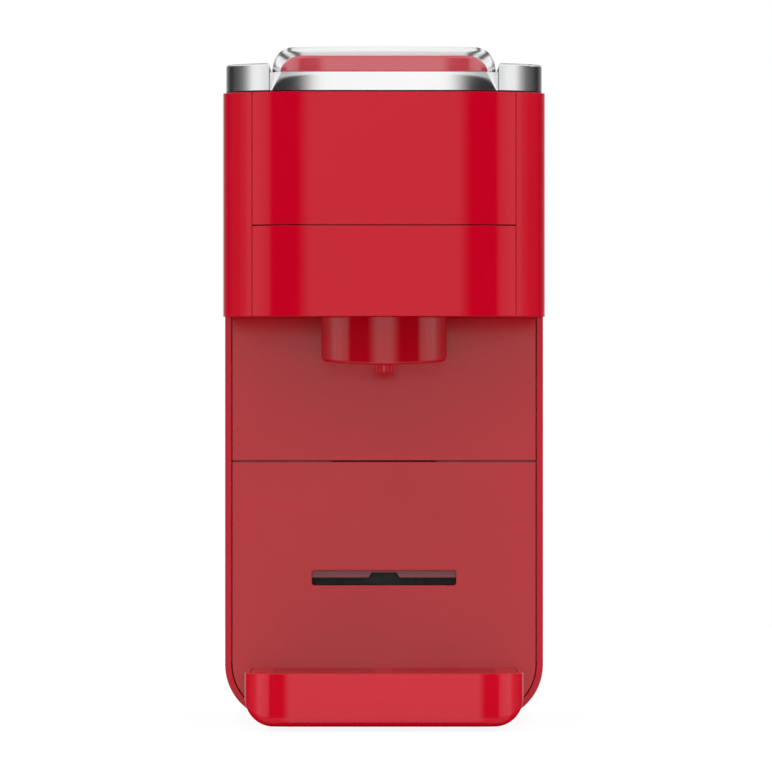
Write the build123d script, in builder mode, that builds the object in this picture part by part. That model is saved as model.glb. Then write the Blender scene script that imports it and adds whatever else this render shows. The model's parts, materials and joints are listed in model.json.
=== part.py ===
from build123d import *

import math
import os

# A tall, narrow capsule brewer: a head that overhangs a column, a lever on top, a drip tray in front of the
# column and a water tank behind it. Millimetres, +Z up, front towards -Y, origin under the machine's middle.

os.makedirs("parts", exist_ok=True)

# Whole machine
body_width = 130.0
foot_height = 2.0
overhang = 92.0
rear_room = 29.0
tank_bay_depth = 68.0

# Walls and gaps
shell_wall = 2.6
panel_thickness = 3.0
seam = 0.4
panel_seam = 0.12
drawer_gap = 0.6
slide_gap = 0.3
pin_gap = 0.1

# Head and column
head_bottom = 166.5
head_height = 90.0
head_corner_radius = 39.0
front_seam_inset = 12.0
lower_panel_height = 36.5
column_corner_radius = 22.5
drawer_seam = 107.8
base_inset = 20.0
deck_thickness = 3.0
ledge_width = 4.0
tongue_thickness = 1.5
tongue_reach = 4.0
vent_width = 60.0
vent_height = 2.4
vent_pitch = 6.0
vent_count = 7
vent_drop = 40.0

# Chrome top cover
cover_height = 11.5
cover_inset = 1.3
cover_wall = 2.5
cover_edge_radius = 1.0
cover_seat_inset = 0.4
cover_seat_height = 0.6

# Lever
lever_width = 90.0
lever_gap = 1.0
lever_lift = 0.5
lever_angle = 80.0
lever_rear_setback = 34.0
lever_rear_height = 9.0
lever_peak_height = 18.4
lever_peak_setback = 37.0
lever_shoulder_radius = 7.0
hood_corner_radius = 13.0
lever_wall = 2.8
chin_height = 7.4
chin_side_slope = 4.0
chin_front_radius = 45.0
chin_flat_half = 20.0
grip_depth = 16.0
grip_height = 6.5
grip_corner_radius = 6.0
grip_edge_radius = 1.2
grip_front_radius = 26.0
grip_flat_half = 21.0
lever_arm_thickness = 4.0
lever_arm_gap = 3.0
lever_arm_length = 24.0
pivot_setback = 64.0
pivot_depth = 33.5
pivot_diameter = 6.0
pivot_boss_radius = 7.0
crank_radius = 24.0
crank_pin_diameter = 6.0
crank_boss_radius = 6.0

# Brew mechanism
brew_axis_rise = 38.5
capsule_flange_diameter = 37.0
capsule_body_diameter = 31.0
capsule_depth = 29.0
capsule_tip_diameter = 24.0
extraction_setback = 8.0
extraction_plate_thickness = 3.0
extraction_head_thickness = 5.0
extraction_pin_size = 1.6
extraction_pin_pitch = 5.0
extraction_pins_across = 5
extraction_pin_height = 0.4
cage_gap = 1.0
cage_length = 38.0
cage_rim = 2.5
frame_inset = 4.0
frame_plate = 3.0
frame_foot = 9.0
frame_top_gap = 3.5
frame_rear_reach = 39.0
rod_diameter = 5.0
rod_inset = 1.0
rod_drop = 20.0
web_height = 10.0
side_plate_thickness = 4.0
side_plate_gap = 3.0
yoke_wall = 3.2
yoke_side_gap = 0.8
yoke_end_gap = 0.6
feed_tube_diameter = 6.0
feed_tube_length = 39.0
feed_tube_gap = 0.2
gland_diameter = 14.0
gland_flange_diameter = 20.0
gland_flange_thickness = 2.0
gland_front_gap = 2.5
boss_diameter = 8.0
screw_diameter = 3.0
screw_head_diameter = 6.0
screw_head_height = 1.7
screw_length = 12.0
boss_inset = 10.0
boss_front_setback = 16.0
boss_rear_setback = 13.0

# Spout
spout_half_width = 25.3
spout_height = 18.1
spout_belly = 1.4
spout_lower_radius = 2.6
spout_front_radius = 28.0
spout_corner_radius = 6.0
spout_edge_radius = 1.2
spout_wall = 2.2
spout_reach = 60.5
tip_setback = 46.0
tip_diameter = 8.6
tip_drop = 2.9
tip_flutes = 8
tip_flute_diameter = 1.8
tip_taper = 4.0
tip_bore = 3.6
tip_tube_diameter = 9.0
duct_half_width = 9.0
duct_mouth_height = 12.0
duct_wall = 2.0

# Drawer, bin and chute
slot_width = 59.0
slot_height = 6.1
slot_corner_radius = 1.0
slot_centre_height = 60.1
lower_slot_height = 13.0
slot_depth = 6.0
slot_lip_setback = 1.6
slot_lip_thickness = 1.2
slot_notch_width = 12.6
slot_notch_height = 2.05
slot_notch_angle = 60.0
bin_wall = 2.0
bin_depth = 54.0
bin_top_gap = 9.8
rail_height = 1.5
rail_width = 4.0
rail_spread = 34.0
chute_width = 43.0
chute_wall = 1.6
chute_gap = 3.0
inlet_gap = 0.5
inlet_corner_radius = 5.0
inlet_chamfer = 1.5

# Drip tray and grid
tray_inset = 9.0
tray_height = 21.3
tray_corner_radius = 20.0
tray_bottom_radius = 11.5
tray_front_radius = 4.0
tray_rim = 2.0
tray_ledge = 2.5
tray_inner_radius = 8.0
tray_floor = 2.5
grid_thickness = 2.6
grid_slot_width = 3.2
grid_slot_pitch = 6.8
grid_slot_margin = 9.0
grid_rib = 6.0
hook_thickness = 2.4
hook_side_gap = 1.0

# Tank, lid and cradle
cradle_inset = 3.0
cradle_height = 20.0
cradle_wall = 3.0
cradle_corner_radius = 26.0
cradle_bottom_radius = 18.0
tank_inset = 7.0
tank_corner_radius = 24.0
tank_wall = 2.5
tank_top_drop = 10.5
tank_front_gap = 2.0
lid_thickness = 4.0
lid_tab_width = 34.0
lid_tab_depth = 5.0
lid_tab_height = 1.6
lid_pin_diameter = 3.0
ear_thickness = 2.5
ear_height = 6.5
ear_depth = 8.0
valve_diameter = 10.0
valve_length = 8.0
valve_gap = 0.5
socket_diameter = 16.0
socket_depth = 12.0

# Feet, buttons, rocker and gland
foot_diameter = 12.0
front_foot_setback = 13.0
rear_foot_inset = 15.0
foot_inset = 7.0
button_diameter = 14.0
button_spread = 18.0
button_gap = 0.3
button_height = 6.0
button_proud = 0.6
button_travel = 1.2
stem_diameter = 4.0
board_thickness = 1.6
board_width = 100.0
board_depth = 15.0
rocker_width = 18.0
rocker_height = 10.0
rocker_depth = 5.6
rocker_gap = 0.9
rocker_x = 20.0
cord_gland_diameter = 12.0
cord_bore = 6.5
cord_gland_x = -24.0

# Water works inside the column
boiler_width = 56.0
boiler_depth = 52.0
boiler_height = 46.0
boiler_edge_radius = 4.0
boiler_boss_length = 5.0
pump_diameter = 36.0
pump_height = 72.0
pump_inset = 23.0
pump_setback = 35.0
mount_height = 15.0
mount_diameter = 42.0
nipple_diameter = 7.0
nipple_length = 7.0
pressure_hose_length = 12.8
meter_diameter = 28.0
meter_height = 16.0
meter_inset = 15.0
hose_diameter = 6.0
hot_pipe_diameter = 6.0

# Planes and levels that follow from the sizes above
column_depth = extraction_setback + pivot_setback + frame_rear_reach + rear_room
machine_depth = overhang + column_depth + tank_bay_depth
x_side = body_width / 2
x_inner = x_side - shell_wall
y_front = -machine_depth / 2
y_back = machine_depth / 2
y_column = y_front + overhang
y_panel_back = y_column + panel_thickness
y_rear = y_back - tank_bay_depth
y_rear_inside = y_rear - panel_thickness
z_floor = foot_height + shell_wall
base_width = body_width - 2 * base_inset
foot_spread = base_width / 2 - foot_inset
front_panel_width = body_width - 2 * front_seam_inset
tray_width = body_width - 2 * tray_inset
cradle_width = body_width - 2 * cradle_inset
tank_width = body_width - 2 * tank_inset
head_top = head_bottom + head_height
front_seam = head_bottom + lower_panel_height
deck_bottom = head_top - deck_thickness
cover_seat = head_top + cover_seat_height
cover_top = head_top + cover_height
lever_bottom = head_top + lever_lift
cutout_half = lever_width / 2 + lever_gap
lever_front = y_front + lever_gap
extraction_y = y_column + extraction_setback
pivot_y = extraction_y + pivot_setback
pivot_height = deck_bottom - pivot_depth
lever_rear = pivot_y - lever_rear_setback
cutout_rear = pivot_y + lever_bottom + lever_rear_height - pivot_height - 2 * lever_gap
brew_axis_height = head_bottom + brew_axis_rise
rod_height = brew_axis_height - rod_drop
frame_bottom = rod_height - frame_foot
frame_top = deck_bottom - frame_top_gap
frame_back = pivot_y + frame_rear_reach
frame_front = extraction_y - extraction_plate_thickness - extraction_head_thickness
frame_half = lever_width / 2 - frame_inset
frame_inner_width = 2 * frame_half
lever_arm_spread = frame_half - lever_arm_gap - lever_arm_thickness
side_plate_spread = lever_arm_spread - side_plate_gap - side_plate_thickness
rod_spread = side_plate_spread - rod_inset
frame_outer = frame_half + frame_plate
half_swing = math.radians(lever_angle / 2)
crank_reach = crank_radius * math.sin(half_swing)
crank_rise = crank_radius * math.cos(half_swing)
carriage_travel = 2 * crank_reach
cage_front = extraction_y + cage_gap
cage_back = cage_front + cage_length
tip_y = y_front + tip_setback
spout_bottom = head_bottom - spout_height
cradle_top = foot_height + cradle_height
tank_bottom = cradle_top + slide_gap
tank_top = head_top - tank_top_drop
bin_top = drawer_seam - bin_top_gap
chute_bottom = bin_top + chute_gap
pump_x = pump_inset - base_width / 2
meter_x = base_width / 2 - meter_inset
pump_y = y_rear_inside - pump_setback
pump_bottom = z_floor + mount_height
pump_top = pump_bottom + pump_height
boiler_bottom = pump_top + nipple_length + pressure_hose_length
tank_front = y_rear + tank_front_gap
tray_top = foot_height + tray_height
tray_back = y_column - seam
lid_bottom = tank_top + slide_gap
socket_y = (tank_front + y_back) / 2
hook_bottom = lower_slot_height - slot_height / 2 + slide_gap


def front_view(y):
    """Plane that faces the front at depth y, with X to the right and Z up."""
    return Plane(origin=(0, y, 0), x_dir=(1, 0, 0), z_dir=(0, -1, 0))


def side_view(x):
    """Plane that faces the right side at x, with Y to the right and Z up."""
    return Plane.YZ.offset(x)


def head_plan(inset):
    """Plan of the head with two round front corners, its front and sides set in by inset."""
    half = x_side - inset
    front = y_front + inset
    with BuildSketch() as plan:
        with BuildLine():
            walls = FilletPolyline(
                (-half, y_rear),
                (-half, front),
                (half, front),
                (half, y_rear),
                radius=head_corner_radius - inset,
            )
            Line(walls @ 1, walls @ 0)
        make_face()
    return plan.sketch


def head_band(outer, inner, left, right):
    """Plan of the head's wall between two insets, from x = left to x = right."""
    with BuildSketch() as band:
        add(head_plan(outer))
        add(head_plan(inner), mode=Mode.SUBTRACT)
        with Locations((left, 0)):
            Rectangle(right - left, 2 * machine_depth, align=(Align.MIN, Align.CENTER), mode=Mode.INTERSECT)
    return band.sketch


def round_section(half, bottom, top, corner):
    """Front view of a body with two round lower corners and a flat top."""
    with BuildSketch() as section:
        with BuildLine():
            walls = FilletPolyline((half, top), (half, bottom), (-half, bottom), (-half, top), radius=corner)
            Line(walls @ 1, walls @ 0)
        make_face()
    return section.sketch


def column_section(inset, top):
    """Front view of the column up to top, with its round lower corners, set in by inset."""
    return round_section(x_side - inset, foot_height + inset, top, column_corner_radius - inset)


def bowed_plan(half, front, back, flat_half, radius):
    """Plan of a bar whose front is flat in the middle and falls back to its ends on two arcs."""
    end = front + radius - math.sqrt(radius**2 - (half - flat_half) ** 2)
    with BuildSketch() as plan:
        with BuildLine():
            Line((-flat_half, front), (flat_half, front))
            RadiusArc((flat_half, front), (half, end), -radius)
            Polyline((half, end), (half, back), (-half, back), (-half, end))
            RadiusArc((-half, end), (-flat_half, front), -radius)
        make_face()
    return plan.sketch


def tray_plan(inset):
    """Plan of the drip tray with two round front corners, set in by inset."""
    half = tray_width / 2 - inset
    front = y_front + inset
    back = tray_back - inset
    with BuildSketch() as plan:
        with BuildLine():
            walls = FilletPolyline(
                (-half, back), (-half, front), (half, front), (half, back), radius=tray_corner_radius - inset
            )
            Line(walls @ 1, walls @ 0)
        make_face()
    return plan.sketch


def tank_plan(half, front, back, corner):
    """Plan of the tank or its cradle, square in front and round at the two back corners."""
    with BuildSketch() as plan:
        with BuildLine():
            walls = FilletPolyline((half, front), (half, back), (-half, back), (-half, front), radius=corner)
            Line(walls @ 1, walls @ 0)
        make_face()
    return plan.sketch


# Screw points that hold the brew frame to the shells' bosses, in the side view
frame_points = [
    (y, z)
    for y in (frame_front + boss_front_setback, frame_back - boss_rear_setback)
    for z in (frame_bottom + boss_inset, frame_top - boss_inset)
]

# Side shells: head wall with its round front corner, column wall and round lower corner in one moulding
with BuildPart() as right_shell:
    with BuildSketch(Plane.XY.offset(head_bottom)):
        add(head_band(0, shell_wall, front_panel_width / 2, x_side))
    extrude(amount=head_height)
    with BuildSketch(front_view(y_column)):
        add(column_section(0, head_bottom))
        add(column_section(shell_wall, head_bottom), mode=Mode.SUBTRACT)
        with Locations((base_width / 2, 0)):
            Rectangle(body_width, 2 * head_top, align=(Align.MIN, Align.CENTER), mode=Mode.INTERSECT)
    extrude(amount=y_column - y_rear)
    # Ledge that carries the deck
    with BuildSketch(side_view(x_inner - ledge_width)):
        with Locations((y_front + head_corner_radius, deck_bottom)):
            Rectangle(
                y_rear_inside - seam - y_front - head_corner_radius, ledge_width, align=(Align.MIN, Align.MAX)
            )
    extrude(amount=ledge_width)
    # Screw bosses that reach in to the brew frame
    with BuildSketch(side_view(frame_outer)):
        with Locations(*frame_points):
            Circle(boss_diameter / 2)
            Circle(screw_diameter / 2 + pin_gap, mode=Mode.SUBTRACT)
    extrude(amount=x_inner - frame_outer)

with BuildPart() as left_shell:
    mirror(right_shell.part, about=Plane.YZ)

# Tank cradle behind the column: a hollow box, round at its back corners and along its lower sides
with BuildPart() as cradle_space:
    with BuildSketch(Plane.XY.offset(z_floor)):
        add(
            tank_plan(
                cradle_width / 2 - cradle_wall,
                y_rear,
                y_back - cradle_wall,
                cradle_corner_radius - cradle_wall,
            )
        )
    extrude(amount=cradle_height - shell_wall - cradle_wall)
    with BuildSketch(front_view(y_rear)):
        add(
            round_section(
                cradle_width / 2 - cradle_wall,
                foot_height + cradle_wall,
                cradle_top,
                cradle_bottom_radius - cradle_wall,
            )
        )
    extrude(amount=-tank_bay_depth, mode=Mode.INTERSECT)

with BuildPart() as cradle:
    with BuildSketch(Plane.XY.offset(foot_height)):
        add(tank_plan(cradle_width / 2, y_rear, y_back, cradle_corner_radius))
    extrude(amount=cradle_height)
    with BuildSketch(front_view(y_rear)):
        add(round_section(cradle_width / 2, foot_height, cradle_top, cradle_bottom_radius))
    extrude(amount=-tank_bay_depth, mode=Mode.INTERSECT)
    add(cradle_space.part, mode=Mode.SUBTRACT)

# Base plate between the shells, with the drawer's rails and the tank cradle behind
with BuildPart() as base_plate:
    with BuildSketch(Plane.XY.offset(foot_height)):
        with Locations((0, y_column)):
            Rectangle(base_width - seam, y_rear - y_column, align=(Align.CENTER, Align.MIN))
    extrude(amount=shell_wall)
    with BuildSketch(Plane.XY.offset(z_floor)):
        with Locations((-rail_spread, y_panel_back + seam), (rail_spread, y_panel_back + seam)):
            Rectangle(rail_width, bin_depth, align=(Align.CENTER, Align.MIN))
    extrude(amount=rail_height)
    add(cradle.part)
    with BuildSketch(Plane.XY.offset(cradle_top)):
        with Locations((0, socket_y)):
            Circle(socket_diameter / 2)
    extrude(amount=-cradle_wall, mode=Mode.SUBTRACT)
    rocker_z = foot_height + cradle_height / 2
    with BuildSketch(front_view(y_back)):
        with Locations((rocker_x, rocker_z)):
            Rectangle(rocker_width + 2 * rocker_gap, rocker_height + 2 * rocker_gap)
        with Locations((cord_gland_x, rocker_z)):
            Circle(cord_gland_diameter / 2)
    extrude(amount=cradle_wall, mode=Mode.SUBTRACT)

with BuildPart() as rubber_feet:
    with BuildSketch():
        for foot_y in (y_column + front_foot_setback, y_back - rear_foot_inset):
            with Locations((-foot_spread, foot_y), (foot_spread, foot_y)):
                Circle(foot_diameter / 2)
    extrude(amount=foot_height)

# Rear cover between the shells, with air slots above, bosses for the boiler and a notch for the hose
boiler_back = y_rear_inside - boiler_boss_length
with BuildPart() as rear_cover:
    with BuildSketch(front_view(y_rear)):
        add(column_section(shell_wall + seam, deck_bottom - seam))
        with Locations((0, foot_height)):
            Rectangle(base_width, cradle_height, align=(Align.CENTER, Align.MIN), mode=Mode.SUBTRACT)
        with Locations((0, tank_top - vent_drop)):
            with GridLocations(1, vent_pitch, 1, vent_count):
                Rectangle(vent_width, vent_height, mode=Mode.SUBTRACT)
    extrude(amount=panel_thickness)
    with BuildSketch(front_view(y_rear_inside)):
        for boss_z in (boiler_bottom + boss_diameter, boiler_bottom + boiler_height - boss_diameter):
            with Locations((-boiler_width / 4, boss_z), (boiler_width / 4, boss_z)):
                Circle(boss_diameter / 2)
    extrude(amount=boiler_boss_length)

# Column panel above the drawer seam, with a tongue at each end that closes the seam from behind
with BuildPart() as column_panel:
    panel_half = x_inner - seam
    tongue_length = panel_half - chute_width / 2
    with BuildSketch(front_view(y_column)):
        with Locations((0, drawer_seam + drawer_gap / 2)):
            panel_height = head_bottom - drawer_seam - drawer_gap / 2
            Rectangle(2 * panel_half, panel_height, align=(Align.CENTER, Align.MIN))
    extrude(amount=-panel_thickness)
    with BuildSketch(front_view(y_panel_back)):
        with Locations((panel_half, drawer_seam + drawer_gap / 2)):
            Rectangle(tongue_length, tongue_reach, align=(Align.MAX, Align.MIN))
    extrude(amount=-slide_gap)
    with BuildSketch(front_view(y_panel_back + slide_gap)):
        with Locations((panel_half, drawer_seam + drawer_gap / 2)):
            Rectangle(tongue_length, 2 * tongue_reach, align=(Align.MAX, Align.CENTER))
    extrude(amount=-tongue_thickness)
    mirror(about=Plane.YZ)

# Front panels of the head, bent round the corners to the shells' seams. Tongues behind their side edges
# close the seams to the shells, and one behind the lower panel's top edge closes the seam between the panels
floor_top = head_bottom + panel_thickness
panel_edge = front_panel_width / 2 - panel_seam
tongue_front = shell_wall + slide_gap
tongue_back = tongue_front + tongue_thickness
cross_tongue_end = panel_edge - 2 * tongue_reach
front_panels = {}
for panel_name, panel_bottom, panel_top in (
    ("lower_front_panel", head_bottom, front_seam - seam / 2),
    ("upper_front_panel", front_seam + seam / 2, head_top),
):
    with BuildPart() as front_panel:
        with BuildSketch(Plane.XY.offset(panel_bottom)):
            add(head_band(0, shell_wall, -panel_edge, panel_edge))
        extrude(amount=panel_top - panel_bottom)
        tongue_bottom = max(panel_bottom, floor_top + seam)
        tongue_top = min(panel_top, deck_bottom - seam)
        with BuildSketch(Plane.XY.offset(tongue_bottom)):
            add(head_band(shell_wall, tongue_back, panel_edge - tongue_reach, panel_edge))
            add(head_band(tongue_front, tongue_back, panel_edge, panel_edge + tongue_reach))
        extrude(amount=tongue_top - tongue_bottom)
        mirror(about=Plane.YZ)
        if panel_name == "lower_front_panel":
            with BuildSketch(Plane.XY.offset(panel_top - tongue_reach)):
                add(head_band(shell_wall, tongue_back, -cross_tongue_end, cross_tongue_end))
            extrude(amount=tongue_reach)
            with BuildSketch(Plane.XY.offset(panel_top)):
                add(head_band(tongue_front, tongue_back, -cross_tongue_end, cross_tongue_end))
            extrude(amount=tongue_reach)
    front_panels[panel_name] = front_panel

# Head floor with the hole for the spout's tube
with BuildPart() as head_floor:
    with BuildSketch(Plane.XY.offset(head_bottom)):
        add(head_plan(shell_wall + seam / 2))
        with Locations((0, y_panel_back)):
            Rectangle(body_width, machine_depth, align=(Align.CENTER, Align.MIN), mode=Mode.SUBTRACT)
        with Locations((0, tip_y)):
            Circle(tip_tube_diameter / 2 + slide_gap, mode=Mode.SUBTRACT)
    extrude(amount=panel_thickness)

# Plan of the chrome cover, two arms beside the lever and a bridge behind it, and of the space inside its wall
with BuildSketch() as cover_plan:
    add(head_plan(cover_inset))
    with Locations((0, cutout_rear)):
        Rectangle(2 * cutout_half, machine_depth, align=(Align.CENTER, Align.MAX), mode=Mode.SUBTRACT)

with BuildSketch() as cover_space:
    add(cover_plan.sketch)
    offset(amount=-cover_wall)

# Top deck with the capsule inlet, two slots for the lever's arms and a flange that the chrome cover sits on
arm_rear = lever_rear - 2 * lever_wall
arm_front = arm_rear - lever_arm_length
lever_slot_front = arm_front - lever_gap
lever_slot_rear = pivot_y + lever_bottom - pivot_height + lever_wall
inlet_front = extraction_y + inlet_gap
inlet_back = cage_front + carriage_travel - inlet_gap
with BuildPart() as top_deck:
    with BuildSketch(Plane.XY.offset(deck_bottom)):
        add(head_plan(shell_wall + slide_gap))
        with Locations((0, (inlet_front + inlet_back) / 2)):
            RectangleRounded(chute_width, inlet_back - inlet_front, inlet_corner_radius, mode=Mode.SUBTRACT)
        slot_middle = (lever_slot_front + lever_slot_rear) / 2
        arm_slot_width = lever_arm_thickness + 2 * lever_gap
        slot_x = lever_arm_spread + lever_arm_thickness / 2
        with Locations((-slot_x, slot_middle), (slot_x, slot_middle)):
            Rectangle(arm_slot_width, lever_slot_rear - lever_slot_front, mode=Mode.SUBTRACT)
    extrude(amount=deck_thickness)
    inlet_rim = top_deck.faces().sort_by(Axis.Z)[-1].inner_wires().sort_by(SortBy.LENGTH)[0]
    chamfer(inlet_rim.edges(), length=inlet_chamfer)
    with BuildSketch(Plane.XY.offset(head_top)):
        add(cover_plan.sketch)
        offset(amount=-cover_seat_inset)
        add(cover_space.sketch, mode=Mode.SUBTRACT)
    extrude(amount=cover_seat_height)

# Chrome top cover, hollow underneath
with BuildPart() as top_cover:
    with BuildSketch(Plane.XY.offset(cover_seat)):
        add(cover_plan.sketch)
    extrude(amount=cover_top - cover_seat)
    fillet(top_cover.faces().sort_by(Axis.Z)[-1].edges(), radius=cover_edge_radius)
    with BuildSketch(Plane.XY.offset(cover_seat)):
        add(cover_space.sketch)
    extrude(amount=cover_top - cover_wall - cover_seat, mode=Mode.SUBTRACT)
    button_y = (cutout_rear + y_rear) / 2
    with BuildSketch(Plane.XY.offset(cover_top)):
        with Locations((-button_spread, button_y), (button_spread, button_y)):
            Circle(button_diameter / 2 + button_gap)
    extrude(amount=-cover_height, mode=Mode.SUBTRACT)

# Brew buttons: a cap in the cover's bridge on a stem above the board
board_top = head_top + board_thickness
buttons = {}
for button_name, button_x in (("short_button", -button_spread), ("long_button", button_spread)):
    with BuildPart() as button:
        with BuildSketch(Plane.XY.offset(cover_top + button_proud)):
            with Locations((button_x, button_y)):
                Circle(button_diameter / 2)
        extrude(amount=-button_height)
        chamfer(button.faces().sort_by(Axis.Z)[-1].edges(), length=cover_edge_radius / 2)
        with BuildSketch(Plane.XY.offset(board_top + button_travel + slide_gap)):
            with Locations((button_x, button_y)):
                Circle(stem_diameter / 2)
        extrude(amount=cover_top + button_proud - button_height - board_top - button_travel - slide_gap)
    buttons[button_name] = button

with BuildPart() as control_board:
    with BuildSketch(Plane.XY.offset(head_top)):
        with Locations((0, button_y)):
            Rectangle(board_width, board_depth)
    extrude(amount=board_thickness)

# Lever body: a hollow chrome casting that rises behind the grip, with a chin under the grip
grip_back = lever_front + grip_depth
peak_y = lever_front + lever_peak_setback
lever_peak = lever_bottom + lever_peak_height
chin_top = lever_bottom + chin_height
grip_top = chin_top + grip_height
with BuildPart() as lever_body:
    with BuildSketch(side_view(-lever_width / 2)):
        with BuildLine():
            crown = ThreePointArc(
                (lever_rear, lever_bottom + lever_rear_height),
                (peak_y, lever_peak),
                (grip_back, grip_top + grip_edge_radius),
            )
            Polyline(crown @ 1, (grip_back, lever_bottom), (lever_rear, lever_bottom), crown @ 0)
        make_face()
    extrude(amount=lever_width)
    shoulders = lever_body.edges().filter_by(GeomType.CIRCLE)
    fillet(shoulders, radius=lever_shoulder_radius)
    with BuildSketch(Plane.XY.offset(lever_bottom)):
        hood_flat_half = lever_width / 2 - hood_corner_radius
        add(bowed_plan(lever_width / 2, grip_back, lever_rear, hood_flat_half, hood_corner_radius))
    extrude(amount=2 * lever_peak_height, mode=Mode.INTERSECT)
    with BuildSketch(front_view(lever_front)):
        with BuildLine():
            half = lever_width / 2
            Polyline(
                (-half, lever_bottom),
                (half, lever_bottom),
                (half - chin_side_slope, chin_top),
                (chin_side_slope - half, chin_top),
                close=True,
            )
        make_face()
    extrude(amount=-grip_depth - hood_corner_radius)
    with BuildSketch(Plane.XY.offset(lever_bottom)):
        add(bowed_plan(lever_width / 2, lever_front, lever_rear, chin_flat_half, chin_front_radius))
    extrude(amount=2 * lever_peak_height, mode=Mode.INTERSECT)
    # Hollow underside, its roof a wall below the crown
    roof_rear = lever_bottom + lever_rear_height - lever_wall
    roof_peak = lever_peak - 2 * lever_wall
    roof_front = grip_back + 2 * lever_wall
    hollow_half = lever_width / 2 - lever_wall
    with BuildSketch(side_view(-hollow_half + lever_wall)):
        with BuildLine():
            Polyline(
                (lever_rear - lever_wall, lever_bottom),
                (lever_rear - lever_wall, roof_rear),
                (peak_y, roof_peak),
                (roof_front, roof_peak),
                (roof_front, lever_bottom),
                close=True,
            )
        make_face()
    extrude(amount=2 * (hollow_half - lever_wall), mode=Mode.SUBTRACT)

with BuildPart() as lever_grip:
    with BuildSketch(front_view(lever_front - lever_gap)):
        with BuildLine():
            half = lever_width / 2 - chin_side_slope
            bar = FilletPolyline(
                (-half, chin_top),
                (-half, grip_top),
                (half, grip_top),
                (half, chin_top),
                radius=grip_corner_radius,
            )
            Line(bar @ 1, bar @ 0)
        make_face()
    extrude(amount=-grip_depth - lever_gap)
    with BuildSketch(Plane.XY.offset(chin_top)):
        add(bowed_plan(half, lever_front - lever_gap, grip_back, grip_flat_half, grip_front_radius))
    extrude(amount=grip_height, mode=Mode.INTERSECT)
    grip_front_edges = lever_grip.faces().filter_by(GeomType.PLANE).sort_by(Axis.Y)[0].edges().sort_by(Axis.Z)
    fillet(grip_front_edges[-1], radius=grip_edge_radius)

# Lever arms: two steel cheeks from the lever's roof down to the pivots, each with a crank pin
crank_y = pivot_y - crank_reach
crank_z = pivot_height + crank_rise
roof_slope = (roof_peak - roof_rear) / (lever_rear - lever_wall - peak_y)
with BuildPart() as lever_arms:
    with BuildSketch(side_view(lever_arm_spread)) as arm_outline:
        with BuildLine():
            Polyline(
                (arm_front, roof_rear + roof_slope * (lever_rear - lever_wall - arm_front)),
                (arm_rear, roof_rear + roof_slope * (lever_rear - lever_wall - arm_rear)),
                (arm_rear, lever_bottom),
                (crank_y + crank_boss_radius, crank_z + crank_boss_radius / 2),
                (pivot_y + pivot_boss_radius, pivot_height),
                (pivot_y, pivot_height - pivot_boss_radius),
                (crank_y - crank_boss_radius, crank_z - crank_boss_radius),
                (arm_front, lever_bottom),
                close=True,
            )
        make_face()
        with Locations((pivot_y, pivot_height)):
            Circle(pivot_boss_radius)
        with Locations((crank_y, crank_z)):
            Circle(crank_boss_radius)
        with Locations((pivot_y, pivot_height)):
            Circle(pivot_diameter / 2 + pin_gap, mode=Mode.SUBTRACT)
    extrude(amount=lever_arm_thickness)
    with BuildSketch(side_view(lever_arm_spread)):
        with Locations((crank_y, crank_z)):
            Circle(crank_pin_diameter / 2)
    extrude(amount=side_plate_spread - lever_arm_spread)
    mirror(about=Plane.YZ)

with BuildPart() as pivot_pins:
    with BuildSketch(side_view(lever_arm_spread - lever_gap)):
        with Locations((pivot_y, pivot_height)):
            Circle(pivot_diameter / 2)
    extrude(amount=frame_outer - lever_arm_spread + lever_gap)
    mirror(about=Plane.YZ)

# Brew frame: two side plates joined by a cross plate behind
with BuildPart() as brew_frame:
    with BuildSketch(side_view(frame_half)):
        with Locations((frame_front, frame_bottom)):
            Rectangle(frame_back - frame_front, frame_top - frame_bottom, align=(Align.MIN, Align.MIN))
        with Locations((pivot_y, pivot_height)):
            Circle(pivot_diameter / 2, mode=Mode.SUBTRACT)
        with Locations(*frame_points):
            Circle(screw_diameter / 2 + pin_gap, mode=Mode.SUBTRACT)
    extrude(amount=frame_plate)
    mirror(about=Plane.YZ)
    with BuildSketch(front_view(frame_back)):
        with Locations((0, frame_bottom)):
            Rectangle(frame_inner_width, frame_top - frame_bottom, align=(Align.CENTER, Align.MIN))
        with Locations((0, brew_axis_height)):
            Circle(gland_diameter / 2, mode=Mode.SUBTRACT)
    extrude(amount=frame_plate)

with BuildPart() as frame_screws:
    with BuildSketch(side_view(frame_half)):
        with Locations(*frame_points):
            Circle(screw_head_diameter / 2)
    extrude(amount=-screw_head_height)
    with BuildSketch(side_view(frame_half)):
        with Locations(*frame_points):
            Circle(screw_diameter / 2)
    extrude(amount=screw_length)
    mirror(about=Plane.YZ)

# Extraction head across the front of the frame, with the pin plate on its face
with BuildPart() as extraction_head:
    head_face = extraction_y - extraction_plate_thickness
    with BuildSketch(front_view(head_face)):
        with Locations((0, frame_bottom)):
            Rectangle(frame_inner_width, frame_top - frame_bottom, align=(Align.CENTER, Align.MIN))
        with Locations((-rod_spread, rod_height), (rod_spread, rod_height)):
            Circle(rod_diameter / 2, mode=Mode.SUBTRACT)
    extrude(amount=extraction_head_thickness)

with BuildPart() as extraction_plate:
    with BuildSketch(front_view(head_face)):
        with Locations((0, brew_axis_height)):
            Circle(capsule_flange_diameter / 2)
    extrude(amount=-extraction_plate_thickness)
    with BuildSketch(front_view(extraction_y)):
        with Locations((0, brew_axis_height)):
            with GridLocations(
                extraction_pin_pitch, extraction_pin_pitch, extraction_pins_across, extraction_pins_across
            ):
                Rectangle(extraction_pin_size, extraction_pin_size)
    extrude(amount=-extraction_pin_height)

with BuildPart() as guide_rods:
    with BuildSketch(front_view(frame_front)):
        with Locations((-rod_spread, rod_height), (rod_spread, rod_height)):
            Circle(rod_diameter / 2)
    extrude(amount=frame_front - frame_back + frame_plate)

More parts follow.
